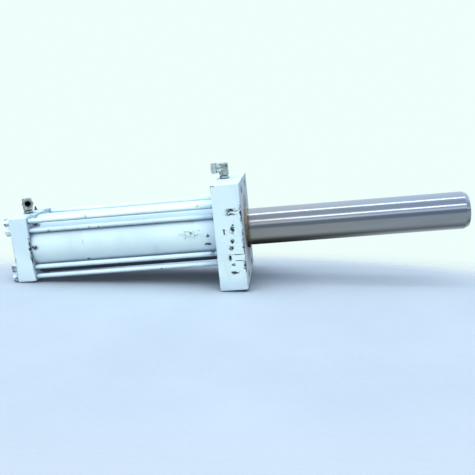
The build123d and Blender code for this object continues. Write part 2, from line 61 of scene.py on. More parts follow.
# %% Read the main sizes
MM = 0.001
head_low, head_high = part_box("front_head")
cap_low, cap_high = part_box("rear_cap")
rod_low, rod_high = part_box("piston_rod")
rod_radius = rod_high.z
rod_tip = rod_high.x
print("head", round(head_high.x - head_low.x, 4), "thick, cap", round(cap_high.x - cap_low.x, 4), "thick")
print("rod radius", round(rod_radius, 4), "rod tip", round(rod_tip, 4))

# %% [markdown]
# ## The camera
# The photograph was taken from a little above the rod, with a lens that shows the whole
# cylinder from under three metres away. Its place was found by fitting the edges of the cap,
# the head and the rod. A camera looks along its own minus Z, so the three directions found by
# the fit become the columns of its matrix.

# %% Place the camera
camera_place = Vector((0.2198, -2.8367, 0.5372))
camera_right = Vector((0.99273, 0.07551, -0.09377)).normalized()
camera_up = Vector((0.07618, 0.20914, 0.97491))
lens_mm = 44.07
film_wide_mm = 36.0
sees_as_far_as = 60.0
camera_back = camera_right.cross(camera_up).normalized()
camera_data = bpy.data.cameras.new("portrait_camera")
camera_data.lens = lens_mm
camera_data.sensor_width = film_wide_mm
camera_data.clip_end = sees_as_far_as
camera = bpy.data.objects.new("portrait_camera", camera_data)
bpy.context.scene.collection.objects.link(camera)
turn = Matrix((camera_right, camera_back.cross(camera_right).normalized(), camera_back)).transposed()
camera.matrix_world = Matrix.Translation(camera_place) @ turn.to_4x4()
bpy.context.scene.camera = camera
print("camera stands", round(camera_place.length, 2), "m from the head's face")

# %% [markdown]
# ## The floor
# The head is taller than the cap, so the cylinder lies on the lower back edge of the head and
# the lower back edge of the cap, and the rod points a few degrees up. In the part's own frame
# the rod is level, so here it is the floor that slopes. A plane that reaches the horizon would
# do, but a wide disc is enough here: it is tilted until it touches both edges, and its paint
# fades out round the cylinder, so that its rim never shows.

# %% Lay the floor
touch_head = Vector((head_low.x, 0.0, head_low.z))
touch_cap = Vector((cap_low.x, 0.0, cap_low.z))
floor_along = (touch_head - touch_cap).normalized()
floor_slope = math.atan2(-floor_along.z, floor_along.x)
floor_radius = 9.0
floor_gap = 0.5 * MM
bpy.ops.object.select_all(action="DESELECT")
bpy.ops.mesh.primitive_circle_add(vertices=96, radius=floor_radius, fill_type="NGON")
floor = bpy.context.object
floor.name = "studio_floor"
floor_foot = Matrix.Translation(touch_head - Vector((0, 0, floor_gap)))
floor.matrix_world = floor_foot @ Matrix.Rotation(floor_slope, 4, "Y")
floor.visible_glossy = False
floor.visible_diffuse = False
print("floor slopes", round(math.degrees(floor_slope), 2), "degrees")

# %% [markdown]
# ## Short words for shader nodes
# The light and every finish are graphs of nodes. By hand they are drawn in the node editor, and
# in a script each node would take four or five lines. Each helper below adds one node and gives
# back its output, so that a graph reads like a sum. What goes into a node may be a plain number
# or the output of another node.

# %% Helpers for numbers
def feed(tree, socket, value):
    """Links another node's output to a socket, or sets a plain number or colour on it."""
    if isinstance(value, bpy.types.NodeSocket):
        tree.links.new(value, socket)
    else:
        socket.default_value = value


def calc(tree, operation, first, second=0.0, clamp=False):
    """One Math node, and its result."""
    item = tree.nodes.new("ShaderNodeMath")
    item.operation = operation
    item.use_clamp = clamp
    feed(tree, item.inputs[0], first)
    feed(tree, item.inputs[1], second)
    return item.outputs[0]


def plus(tree, first, second):
    """The sum of two values."""
    return calc(tree, "ADD", first, second)


def minus(tree, first, second):
    """The first value less the second."""
    return calc(tree, "SUBTRACT", first, second)


def times(tree, first, second):
    """The product of two values."""
    return calc(tree, "MULTIPLY", first, second)


def ramp(tree, value, low, high):
    """0 where the value is at low, 1 where it is at high, and smooth between."""
    item = tree.nodes.new("ShaderNodeMapRange")
    item.interpolation_type = "SMOOTHSTEP"
    feed(tree, item.inputs["Value"], value)
    item.inputs["From Min"].default_value = low
    item.inputs["From Max"].default_value = high
    return item.outputs["Result"]


print("helpers for numbers:", ", ".join(f.__name__ for f in (feed, calc, plus, minus, times, ramp)))

# %% Helpers for vectors and colours
def vector_calc(tree, operation, first, second=(0.0, 0.0, 0.0), third=(0.0, 0.0, 0.0)):
    """One Vector Math node, and its result: a number for lengths and dot products."""
    item = tree.nodes.new("ShaderNodeVectorMath")
    item.operation = operation
    for socket, value in zip(item.inputs, (first, second, third)):
        feed(tree, socket, value)
    return item.outputs["Value" if operation in ("LENGTH", "DOT_PRODUCT") else "Vector"]


def split(tree, vector):
    """The three numbers of a vector."""
    item = tree.nodes.new("ShaderNodeSeparateXYZ")
    feed(tree, item.inputs[0], vector)
    return item.outputs


def blend_colours(tree, factor, first, second):
    """The first colour where the factor is 0, the second where it is 1."""
    item = tree.nodes.new("ShaderNodeMix")
    item.data_type = "RGBA"
    feed(tree, item.inputs[0], factor)
    feed(tree, item.inputs[6], first)
    feed(tree, item.inputs[7], second)
    return item.outputs[2]


print("helpers for vectors and colours:", ", ".join(f.__name__ for f in (vector_calc, split, blend_colours)))

# %% [markdown]
# ## What the chrome mirrors
# Polished chrome shows whatever stands round it, so its look is really the look of its
# surroundings. They could be built of planes, but the rod only needs the right tone in each
# direction. So they are a gradient that turns about the rod's axis. Its tones were read off the
# rod from its lowest line to its highest: pale from below, the rod's own shadow, grey at the
# height of the eye, a dark line and a bright one, then blue, and pale again at the top.

# %% Turn the tones about the rod
pale_below = (0.62, 0.70, 0.74, 1.0)
dull_below = (0.40, 0.46, 0.47, 1.0)
own_shadow = (0.17, 0.19, 0.19, 1.0)
grey_level = (0.39, 0.44, 0.46, 1.0)
dark_line = (0.19, 0.24, 0.31, 1.0)
bright_line = (0.80, 0.90, 1.02, 1.0)
blue_above = (0.41, 0.49, 0.60, 1.0)
pale_above = (0.75, 0.88, 1.03, 1.0)
tones_round_rod = (
    (0.06, pale_below), (0.17, dull_below), (0.235, own_shadow), (0.33, grey_level),
    (0.475, grey_level), (0.492, dark_line), (0.548, dark_line), (0.562, bright_line),
    (0.576, bright_line), (0.590, blue_above), (0.71, blue_above), (0.80, pale_above),
)
world = bpy.data.worlds.new("studio")
world.use_nodes = True
world.cycles.sampling_method = "NONE"
bpy.context.scene.world = world
tree = world.node_tree
tree.nodes.clear()
looking = tree.nodes.new("ShaderNodeTexCoord").outputs["Generated"]
direction = split(tree, looking)
angle = calc(tree, "ARCTAN2", direction[2], times(tree, direction[1], -1.0))
turned = plus(tree, calc(tree, "DIVIDE", angle, 2 * math.pi), 0.5)
gradient = tree.nodes.new("ShaderNodeValToRGB")
feed(tree, gradient.inputs["Fac"], turned)
stops = gradient.color_ramp.elements
while len(stops) < len(tones_round_rod):
    stops.new(0.5)
for stop, (place, tone) in zip(stops, tones_round_rod):
    stop.position = place
    stop.color = tone
print("tones round the rod", len(stops))

# %% [markdown]
# ## What lights the paint
# Dull paint takes in light from half the world at once, so a few broad tones are enough for it.
# The sky is brightest in front, above and towards the cap, so that the faces towards the rod's
# end fall into a bluish shade, and hardly any light comes from below. Chrome also mirrors dark
# ground towards the cap's end, low down, where the cylinder itself stands over it.

# %% Tone the sky and the ground
sky_bright = (1.83, 2.01, 2.06, 1.0)
sky_shade = (0.22, 0.26, 0.44, 1.0)
sky_from = (-0.42, -0.80, 0.43)
from_below = (0.015, 0.028, 0.100, 1.0)
dark_ground = (0.05, 0.055, 0.065, 1.0)
facing = vector_calc(tree, "DOT_PRODUCT", looking, sky_from)
raised = blend_colours(tree, ramp(tree, facing, -0.25, 0.55), sky_shade, sky_bright)
sky = blend_colours(tree, ramp(tree, direction[2], -0.12, 0.12), from_below, raised)
beneath_tube = times(tree, ramp(tree, direction[0], 0.20, 0.0), ramp(tree, turned, 0.34, 0.20))
mirrored = blend_colours(tree, beneath_tube, gradient.outputs["Color"], dark_ground)
print("sky nodes so far", len(tree.nodes))

# %% [markdown]
# ## What the camera sees behind
# A backdrop could be a big curved sheet, but it would throw its own light on the chrome. The
# world can answer each kind of ray in its own way instead. Rays from the camera see a pale tone
# above a level line and the floor's tone below it. Mirrored rays see the tones round the rod,
# and all others see the sky. The part's frame is tilted against the ground, so the level line
# is sloped by the same amount.

# %% Give each kind of ray its own world
seen_above = (0.86, 1.0, 0.965, 1.0)
seen_below = (0.67, 0.81, 0.965, 1.0)
horizon_slope = 0.11
horizon = (-0.252, -0.240)
level = plus(tree, direction[2], times(tree, direction[0], horizon_slope))
backdrop = blend_colours(tree, ramp(tree, level, *horizon), seen_below, seen_above)
rays = tree.nodes.new("ShaderNodeLightPath")
lighting = blend_colours(tree, rays.outputs["Is Glossy Ray"], sky, mirrored)
background = tree.nodes.new("ShaderNodeBackground")
feed(tree, background.inputs["Color"], blend_colours(tree, rays.outputs["Is Camera Ray"], lighting, backdrop))
feed(tree, tree.nodes.new("ShaderNodeOutputWorld").inputs["Surface"], background.outputs[0])
bpy.context.scene.view_settings.view_transform = "Standard"
print("world", world.name, "has", len(tree.nodes), "nodes")

# %% [markdown]
# ## Two long lamps
# The rod carries two bright lines in its upper half, one from a lamp nearly overhead and one
# from a lamp in front. A line of light on a round bar is the mirror image of a long lamp, so
# each is an area lamp as long as the whole cylinder and more, at the angle about the rod that
# puts its line in the right place. A wider lamp gives a wider line.

# %% Hang the lamps
lamp_long = 6.0
lamp_colour = (0.93, 0.98, 1.0)


def strip_lamp(name, elevation, distance, wide, strength):
    """A long lamp beside the rod, seen from it at an angle above the camera's side."""
    data = bpy.data.lights.new(name, "AREA")
    data.shape = "RECTANGLE"
    data.size = lamp_long
    data.size_y = wide
    data.energy = strength * math.pi * lamp_long * wide
    data.color = lamp_colour
    lamp = bpy.data.objects.new(name, data)
    bpy.context.scene.collection.objects.link(lamp)
    up = math.radians(elevation)
    lamp.location = (0.0, -distance * math.cos(up), distance * math.sin(up))
    lamp.rotation_euler = (math.radians(90 - elevation), 0.0, 0.0)
    return lamp


lamps = [
    strip_lamp("lamp_overhead", elevation=92.0, distance=2.8, wide=0.30, strength=2.8),
    strip_lamp("lamp_in_front", elevation=44.0, distance=3.4, wide=0.34, strength=2.6),
]
print("lamps", ", ".join(f"{lamp.name} {lamp.data.energy:.1f} W" for lamp in lamps))

# %% [markdown]
# ## Patterns in space
# A picture could be wrapped round each piece, but it would need unfolding, and it would blur close
# up. These patterns are worked out from the Object coordinates instead, which are the part's own
# frame, so each mark is as sharp as one looks and stays at its place from every side.

# %% Helpers for clouds and spots
def place_of(tree):
    """Object coordinates, which are the part's own frame here."""
    return tree.nodes.new("ShaderNodeTexCoord").outputs["Object"]


def noise_node(tree, position, scale, detail, roughness):
    """A Noise Texture node that reads a position."""
    item = tree.nodes.new("ShaderNodeTexNoise")
    feed(tree, item.inputs["Vector"], position)
    item.inputs["Scale"].default_value = scale
    item.inputs["Detail"].default_value = detail
    item.inputs["Roughness"].default_value = roughness
    return item


def noise(tree, position, scale, detail=4.0, roughness=0.55, stretch=(1.0, 1.0, 1.0)):
    """A noise between 0 and 1, stretched by its own factor along each axis."""
    stretched = vector_calc(tree, "MULTIPLY", position, stretch)
    return noise_node(tree, stretched, scale, detail, roughness).outputs["Fac"]


def away_from(tree, position, centre, reach):
    """How far a point is from a centre, where the reach along each axis counts as 1."""
    away = vector_calc(tree, "SUBTRACT", position, centre)
    return vector_calc(tree, "LENGTH", vector_calc(tree, "DIVIDE", away, reach))


def spot(tree, position, centre, reach):
    """1 at a spot's centre, falling to 0 at its reach along each axis."""
    return ramp(tree, away_from(tree, position, centre, reach), 1.0, 0.2)


print("helpers for clouds and spots:", ", ".join(f.__name__ for f in (noise, away_from, spot)))

# %% Helpers for edges and corners
ao_samples = 6


def strongest(tree, values):
    """The largest of several values at each point."""
    result = values[0]
    for value in values[1:]:
        result = calc(tree, "MAXIMUM", result, value)
    return result


def to_edge(tree, position, low, high):
    """How far a point on a block's skin lies from the nearest edge of the block."""
    gaps = []
    for axis, along in enumerate(split(tree, position)):
        middle = (low[axis] + high[axis]) / 2
        half = (high[axis] - low[axis]) / 2
        gaps.append(minus(tree, half, calc(tree, "ABSOLUTE", minus(tree, along, middle))))
    pairs = [calc(tree, "MAXIMUM", gaps[one], gaps[two]) for one, two in ((0, 1), (1, 2), (0, 2))]
    return calc(tree, "MINIMUM", calc(tree, "MINIMUM", pairs[0], pairs[1]), pairs[2])


def hollow(tree, reach, low=0.35, high=0.8):
    """1 deep in holes and corners, 0 on open surfaces, from how much nearby space is filled."""
    item = tree.nodes.new("ShaderNodeAmbientOcclusion")
    item.samples = ao_samples
    item.inputs["Distance"].default_value = reach
    return ramp(tree, item.outputs["AO"], high, low)


print("helpers for edges and corners:", ", ".join(f.__name__ for f in (strongest, to_edge, hollow)))

# %% Helpers for a material
def new_material(name, metallic=0.0):
    """A material with an empty Principled shader, its tree, its shader and its position."""
    material = bpy.data.materials.new(name)
    material.use_nodes = True
    shader = material.node_tree.nodes["Principled BSDF"]
    shader.inputs["Metallic"].default_value = metallic
    return material, material.node_tree, shader, place_of(material.node_tree)


def set_surface(tree, shader, colour, roughness, height, depth):
    """Gives a shader its colour, its roughness and a relief as deep as a real depth in metres."""
    feed(tree, shader.inputs["Base Color"], colour)
    feed(tree, shader.inputs["Roughness"], roughness)
    bump = tree.nodes.new("ShaderNodeBump")
    bump.inputs["Strength"].default_value = 1.0
    bump.inputs["Distance"].default_value = depth
    feed(tree, bump.inputs["Height"], height)
    feed(tree, shader.inputs["Normal"], bump.outputs[0])


def tell(*materials):
    """Prints what was mixed."""
    for material in materials:
        print(material.name, "has", len(material.node_tree.nodes), "nodes")


print("helpers for a material:", ", ".join(f.__name__ for f in (new_material, set_surface, tell)))

# %% [markdown]
# ## How paint comes off
# The cap, the head, the tube and the tie rods carry one coat of white shop paint over a dark
# primer. It comes off in flakes with torn edges where something struck it. Round spots would
# look drawn, so the flakes are cells of a Voronoi pattern whose borders are bent by noise. A
# cell is bare where its own random number is high, or where a weight lifts it.

# %% Tear flakes out of a coat
stray_chips = 0.0008


def bend(tree, position, scale, amount):
    """The position, pushed about by a noise, so that borders drawn with it come out torn."""
    push = noise_node(tree, position, scale, 5.0, 0.7)
    centred = vector_calc(tree, "SUBTRACT", push.outputs["Color"], (0.5, 0.5, 0.5))
    return vector_calc(tree, "MULTIPLY_ADD", centred, (amount, amount, amount), position)


def flakes(tree, position, weight, size, stretch=(1.0, 1.0, 1.0)):
    """Torn cells of a given size that are 1 where the weight lifts them, and 0 elsewhere."""
    torn = bend(tree, position, 1.3 / size, 1.6 * size)
    cells = tree.nodes.new("ShaderNodeTexVoronoi")
    cells.inputs["Scale"].default_value = 1.0 / size
    feed(tree, cells.inputs["Vector"], vector_calc(tree, "MULTIPLY", torn, stretch))
    chance = split(tree, cells.outputs["Color"])[0]
    return ramp(tree, plus(tree, chance, weight), 1.0 - stray_chips, 1.01 - stray_chips)


print("stray chips", stray_chips, "of all flakes")

# %% Gather the chips of one piece
edge_wear = 4.5 * MM


def shaded_holes(tree, position, across, up, radius):
    """1 inside four holes along X that mirror one another about the axis, and on their rims: painted shade
    inside, bare rims.
    """
    off = vector_calc(tree, "SUBTRACT", vector_calc(tree, "ABSOLUTE", position), (0.0, across, up))
    away = vector_calc(tree, "LENGTH", vector_calc(tree, "MULTIPLY", off, (0.0, 1.0, 1.0)))
    return ramp(tree, away, radius + 1.2 * MM, radius + 0.2 * MM)


def chips_of(tree, position, spots, block, scratches, flake, holes):
    """1 where the paint is gone, at spots, along a block's edges and in scratches, and in holes, which are
    painted dark as shade.
    """
    torn = bend(tree, position, 55.0, 0.022)
    weights = [times(tree, spot(tree, torn, centre, reach), pull) for centre, reach, pull in spots]
    if block:
        edge = ramp(tree, to_edge(tree, position, *block), edge_wear, 0.0)
        worn = ramp(tree, noise(tree, position, 9.0, 2.0), 0.42, 0.72)
        weights.append(times(tree, edge, times(tree, worn, 0.6)))
    lift = strongest(tree, weights)
    large = flakes(tree, position, times(tree, lift, lift), flake, (0.55, 1.0, 1.0))
    small = flakes(tree, position, times(tree, lift, 0.7), 0.40 * flake, (0.7, 1.0, 1.0))
    layers = [large, times(tree, small, 0.85)]
    for centre, reach in scratches:
        line = ramp(tree, spot(tree, position, centre, reach), 0.15, 0.5)
        broken = ramp(tree, noise(tree, position, 60.0, 3.0), 0.36, 0.46)
        layers.append(times(tree, line, broken))
    # holes get the dark bare colour as painted shade
    if holes:
        layers.append(shaded_holes(tree, position, *holes))
    return strongest(tree, layers)


print("a block is worn up to", edge_wear / MM, "mm in from its edges")

# %% [markdown]
# ## The coat of paint
# Where it is whole, the paint has cooler and warmer patches and a film of dust. Painted shade,
# bluish, darkens the tube and the tie rods where they stand close together, and painted shade with
# some dirt fills the closest corners. The tube's underside is painted dark, as shade. On the head's
# face, oil from the rod has crept out round the gland. A chip shows primer with a little rust and
# lies a fraction lower.

# %% Colour the whole coat
paint_white = (0.70, 0.885, 0.93, 1.0)
paint_cool = (0.62, 0.80, 0.89, 1.0)
dust = (0.36, 0.42, 0.43, 1.0)
primer = (0.010, 0.022, 0.034, 1.0)
rust = (0.06, 0.045, 0.04, 1.0)
corner_shade_and_dirt = (0.13, 0.17, 0.24, 1.0)
rod_shade = (0.32, 0.43, 0.64, 1.0)
underside_shade = (0.030, 0.042, 0.065, 1.0)
oil_film = (0.22, 0.21, 0.17, 1.0)
shade_and_dirt_strength = 0.85


def around_gland(tree, position, reach):
    """How thick the oil film lies on the head's rod-side face, thickest beside the gland."""
    away = vector_calc(tree, "LENGTH", vector_calc(tree, "MULTIPLY", position, (0.0, 1.0, 1.0)))
    patchy = plus(tree, away, times(tree, noise(tree, position, 16.0, 5.0, 0.65), 0.10))
    on_face = ramp(tree, split(tree, position)[0], -3 * MM, -1 * MM)
    return times(tree, on_face, ramp(tree, patchy, reach, 0.6 * reach))


def coat_of(tree, position, film, dustiness, shade, underside, oil):
    """The colour of whole paint: two tones, dust, painted shade between parts and in corners with some dirt,
    painted shade below, and oil.
    """
    patches = ramp(tree, noise(tree, position, 4.0, 3.0), 0.35, 0.7)
    coat = blend_colours(tree, patches, paint_white, paint_cool)
    layers = [
        (ramp(tree, film, 0.54, 0.80), dustiness, dust),
        # painted shade, bluish, where the tie rods and the tube stand close together
        (hollow(tree, 0.10, 0.66, 0.93), shade, rod_shade),
        # painted shade, with some dirt, in the closest corners
        (hollow(tree, 0.03), shade_and_dirt_strength, corner_shade_and_dirt),
    ]
    if underside:
        # painted shade: darker towards the bottom
        layers.append((ramp(tree, split(tree, position)[2], *underside), shade_and_dirt_strength, underside_shade))
    if oil:
        layers.append((around_gland(tree, position, oil), shade_and_dirt_strength, oil_film))
    for where, strength, colour in layers:
        coat = blend_colours(tree, times(tree, where, strength), coat, colour)
    return coat


print("paint tones", paint_white[:3], paint_cool[:3])

# %% Mix the white paint
flake_size = 4.8 * MM


def paint(name, spots, block=None, scratches=(), dustiness=0.35, flake=flake_size, holes=None,
          shade=0.45, underside=None, oil=0.0):
    """White paint with its dust, dirt and painted shade, chipped at the given spots and along a block's
    edges.
    """
    material, tree, shader, position = new_material(name)
    shader.inputs["Specular IOR Level"].default_value = 0.35
    film = noise(tree, position, 11.0, 6.0, 0.65, (1.0, 1.0, 0.35))
    coat = coat_of(tree, position, film, dustiness, shade, underside, oil)
    chips = chips_of(tree, position, spots, block, scratches, flake, holes)
    bare = blend_colours(tree, ramp(tree, noise(tree, position, 140.0, 3.0), 0.5, 0.72), primer, rust)
    gloss = plus(tree, plus(tree, 0.34, times(tree, film, 0.22)), times(tree, chips, 0.25))
    peel = times(tree, noise(tree, position, 420.0, 2.0), 0.16)
    relief = minus(tree, peel, times(tree, chips, 0.8))
    set_surface(tree, shader, blend_colours(tree, chips, coat, bare), gloss, relief, 0.3 * MM)
    return material


print("flakes are", flake_size / MM, "mm across where a piece says nothing else")

# %% [markdown]
# ## Where the paint is worn
# Chips could be scattered at random, but these have their places: where slings and forks rubbed
# the head's side, where spanners slipped near the tie rods, and along the edges of both blocks.
# Each spot is a centre, a reach along X, Y and Z, and a pull between 0 and 1. With a pull near 1
# nearly every flake is gone in its middle, and with a small one only a few are.

# %% Worn spots on the head
side = head_low.y
head_spots = (
    # a broad scrape high up
    ((-0.047, side, 0.130), (0.038, 0.03, 0.012), 0.92),
    ((-0.050, side, 0.110), (0.038, 0.03, 0.009), 0.96),
    ((-0.058, side, 0.120), (0.022, 0.03, 0.012), 0.70),
    # knocks one below the other
    ((-0.086, side, 0.034), (0.007, 0.03, 0.022), 0.90),
    ((-0.047, side, 0.040), (0.014, 0.03, 0.034), 0.98),
    ((-0.052, side, -0.016), (0.015, 0.03, 0.017), 0.90),
    ((-0.060, side, -0.046), (0.018, 0.03, 0.013), 0.94),
    ((-0.071, side, -0.092), (0.013, 0.03, 0.024), 0.92),
    ((-0.056, side, -0.126), (0.013, 0.03, 0.011), 0.94),
    ((-0.054, side, -0.163), (0.030, 0.03, 0.011), 0.94),
    # the edge beside the rod
    ((0.000, side, 0.110), (0.014, 0.03, 0.090), 0.74),
    ((0.000, side, -0.02), (0.014, 0.03, 0.100), 0.74),
    ((0.000, side, -0.13), (0.016, 0.03, 0.060), 0.82),
    # the top corner above the tube, and a few strays
    ((-0.129, side, 0.244), (0.007, 0.03, 0.007), 1.0),
    ((-0.116, side, 0.246), (0.006, 0.03, 0.005), 0.9),
    ((-0.040, side, 0.02), (0.07, 0.03, 0.18), 0.05),
)
head_scratches = (
    ((-0.036, side, -0.078), (0.042, 0.02, 0.0030)),
    ((-0.028, side, -0.107), (0.030, 0.02, 0.0028)),
)
# holes whose inside is painted dark, as shade
head_holes = (0.125, 0.205, 0.0195)
oil_reach = 0.26
head_paint = paint(
    "paint_head", head_spots, (head_low, head_high), head_scratches, dustiness=0.25,
    holes=head_holes, oil=oil_reach,
)
tell(head_paint)

# %% Worn spots on the cap
cap_side = cap_low.y
cap_top = cap_high.z
cap_spots = (
    ((-1.052, cap_side, -0.02), (0.010, 0.03, 0.140), 0.7),
    ((-1.06, 0.10, cap_top), (0.030, 0.05, 0.02), 0.5),
    ((-1.055, -0.10, cap_top), (0.014, 0.05, 0.02), 0.5),
    ((-1.139, cap_side, -0.05), (0.007, 0.03, 0.12), 0.5),
    ((-1.10, 0.0, cap_top), (0.05, 0.15, 0.02), 0.03),
)
cap_paint = paint("paint_cap", cap_spots, (cap_low, cap_high), shade=0.22)
tell(cap_paint)

# %% Worn spots on the tube
tube_spots = (
    # a field of small chips and two larger ones beside the head
    ((-0.262, -0.150, 0.012), (0.090, 0.06, 0.036), 0.30),
    ((-0.177, -0.150, 0.000), (0.014, 0.05, 0.012), 1.0),
    ((-0.180, -0.144, -0.041), (0.028, 0.05, 0.010), 0.95),
    ((-0.250, -0.150, 0.070), (0.060, 0.05, 0.012), 0.24),
    # where the cap was pressed on
    ((-1.030, -0.100, 0.112), (0.030, 0.05, 0.020), 0.92),
    ((-1.032, -0.148, 0.006), (0.026, 0.05, 0.020), 0.95),
    # single knocks, and strays over the whole length
    ((-0.777, -0.132, -0.071), (0.014, 0.05, 0.006), 0.8),
    ((-0.788, -0.149, 0.017), (0.003, 0.05, 0.020), 0.6),
    ((-0.945, -0.120, -0.090), (0.010, 0.05, 0.006), 0.7),
    ((-0.560, 0.120, 0.090), (0.040, 0.05, 0.030), 0.25),
    ((-0.60, -0.15, 0.0), (0.5, 0.1, 0.12), 0.006),
    ((-0.35, 0.10, 0.10), (0.2, 0.1, 0.1), 0.02),
)
# heights over which the tube's underside is painted dark, as shade
tube_underside = (-0.096, -0.112)
tube_paint = paint("paint_tube", tube_spots, dustiness=0.30, flake=3.4 * MM, underside=tube_underside)
tell(tube_paint)

# %% Worn spots on the tie rods
tie_spots = (
    ((-0.747, -0.147, 0.087), (0.005, 0.02, 0.012), 0.8),
    ((-0.702, -0.149, 0.085), (0.005, 0.02, 0.012), 0.8),
    ((-0.951, -0.149, 0.085), (0.014, 0.02, 0.014), 0.5),
    ((-0.162, -0.138, -0.085), (0.020, 0.03, 0.020), 0.8),
    ((-0.759, -0.150, 0.143), (0.012, 0.02, 0.012), 0.5),
    ((-0.214, -0.145, 0.149), (0.012, 0.02, 0.012), 0.6),
    ((-0.420, -0.150, -0.146), (0.006, 0.02, 0.010), 0.8),
    ((-0.425, -0.150, -0.078), (0.004, 0.02, 0.008), 0.8),
)
tie_paint = paint("paint_tie_rods", tie_spots, dustiness=0.40, flake=4.0 * MM)
tell(tie_paint)

# %% [markdown]
# ## Nuts with some paint left
# The nuts and washers behind the cap were painted with the rest, and spanners have taken part
# of it off since. Plain steel would be too dark and plain paint too clean, so a cloud decides
# where the paint is kept, and the shader is metallic only where it is gone.

# %% Finish the nuts
dull_steels = ((0.17, 0.19, 0.24, 1.0), (0.42, 0.46, 0.54, 1.0))


def worn_nut():
    """Nuts and washers: dull steel that has kept some of its white paint."""
    material, tree, shader, position = new_material("finish_worn_nuts")
    cloud = noise(tree, position, 34.0, 5.0, 0.65)
    fine = noise(tree, position, 210.0, 4.0, 0.6)
    steel = blend_colours(tree, fine, *dull_steels)
    kept = ramp(tree, plus(tree, cloud, times(tree, fine, 0.12)), 0.46, 0.58)
    feed(tree, shader.inputs["Metallic"], minus(tree, 0.75, times(tree, kept, 0.75)))
    gloss = plus(tree, 0.34, times(tree, cloud, 0.2))
    set_surface(tree, shader, blend_colours(tree, kept, steel, paint_cool), gloss, kept, 0.2 * MM)
    return material


nut_paint = worn_nut()
tell(nut_paint)

# %% [markdown]
# ## Hard chrome
# The rod is ground and then plated with hard chrome, so very fine rings run round it and it
# mirrors its surroundings. Where it leaves the gland, old oil has dried to a thin golden-brown
# film, and its lower side there is painted nearly black, as shade. The rings are a noise that
# changes along X only, far finer than could be modelled. The chrome is a little warmer near the
# head and cooler towards the rod's end.

# %% Finish the rod's chrome
warm_tones = ((0.55, 0.57, 0.59, 1.0), (0.50, 0.51, 0.51, 1.0))
cool_tones = ((0.52, 0.57, 0.66, 1.0), (0.49, 0.53, 0.58, 1.0))
dried_oil = (0.26, 0.18, 0.10, 1.0)
rod_underside_shade = (0.07, 0.065, 0.06, 1.0)


def rings_along(tree, position, fine):
    """A noise that changes along X only, as tool marks on turned work do."""
    return noise(tree, position, fine, 3.0, 0.6, (1.0, 0.004, 0.004))


def chrome():
    """Ground hard chrome, with a dried film of oil where the rod leaves the gland and painted shade on its
    lower side there.
    """
    material, tree, shader, position = new_material("finish_hard_chrome", 1.0)
    along, _, up = split(tree, position)
    cloud = noise(tree, position, 7.0, 5.0, 0.6, (0.6, 1.0, 1.0))
    streaks = ramp(tree, noise(tree, position, 30.0, 4.0, 0.6, (0.12, 1.0, 1.0)), 0.4, 0.75)
    warm_end = blend_colours(tree, streaks, *warm_tones)
    cool_end = blend_colours(tree, streaks, *cool_tones)
    metal = blend_colours(tree, ramp(tree, plus(tree, along, cloud), 0.7, 1.5), warm_end, cool_end)
    collar = ramp(tree, along, 0.028, 0.010)
    near = plus(tree, collar, times(tree, ramp(tree, along, 0.30, 0.02), 0.16))
    film = calc(tree, "MULTIPLY", near, ramp(tree, cloud, 0.34, 0.66), True)
    stained = blend_colours(tree, film, metal, dried_oil)
    # painted shade: the rod's lower side near the gland is darkened
    underside_near_gland = times(tree, ramp(tree, up, -0.040, -0.082), ramp(tree, along, 0.36, 0.03))
    colour = blend_colours(tree, times(tree, underside_near_gland, 0.85), stained, rod_underside_shade)
    dull = plus(tree, plus(tree, 0.10, times(tree, cloud, 0.10)), times(tree, film, 0.22))
    set_surface(tree, shader, colour, dull, rings_along(tree, position, 900.0), 0.012 * MM)
    return material


hard_chrome = chrome()
tell(hard_chrome)

# %% [markdown]
# ## Plated fittings
# The elbows and their nuts are plated steel, a little yellowed, with dirt in patches and painted
# shade in their corners. Inside their mouths the colour is painted dark, as shade, because light
# hardly gets in. The ambient occlusion node knows how closed in a point is, so it finds both
# without any spot being placed by hand.

# %% Finish the fittings
plating = ((0.70, 0.77, 0.74, 1.0), (0.50, 0.56, 0.53, 1.0))
dark_dirt_and_shade = (0.014, 0.013, 0.014, 1.0)


def plated():
    """Plated steel of the fittings, with dirt in patches and painted shade in its hollows."""
    material, tree, shader, position = new_material("finish_fitting_steel")
    cloud = noise(tree, position, 40.0, 5.0, 0.65)
    fine = noise(tree, position, 260.0, 4.0, 0.6)
    steel = blend_colours(tree, ramp(tree, cloud, 0.35, 0.7), *plating)
    patches = ramp(tree, plus(tree, cloud, times(tree, fine, 0.35)), 0.74, 0.90)
    # dirt in patches, and painted shade in hollows and mouths
    dirt_and_shade = calc(tree, "MAXIMUM", patches, hollow(tree, 0.07, 0.20, 0.46))
    feed(tree, shader.inputs["Metallic"], minus(tree, 1.0, times(tree, dirt_and_shade, 0.8)))
    gloss = plus(tree, 0.26, times(tree, fine, 0.22))
    set_surface(tree, shader, blend_colours(tree, dirt_and_shade, steel, dark_dirt_and_shade), gloss, fine, 0.06 * MM)
    return material


fitting_steel = plated()
tell(fitting_steel)

# %% [markdown]
# ## Bronze and old grease
# The gland is bronze, and only its nose shows, under years of brown grease that is wiped in spots,
# with painted light that makes it brighter towards the top and pale specks that are painted
# highlights. Beside it lies the grease that the wiper has scraped off the rod: tan, with pale
# specks above as painted highlights, and painted shadow that makes it nearly black where it hangs
# down. Both need no more than two clouds of different size and the height.

# %% Finish the gland
grease_browns = ((0.07, 0.055, 0.035, 1.0), (0.22, 0.17, 0.11, 1.0))
bronze_and_highlight_tones = ((0.50, 0.39, 0.25, 1.0), (0.88, 0.84, 0.74, 1.0))


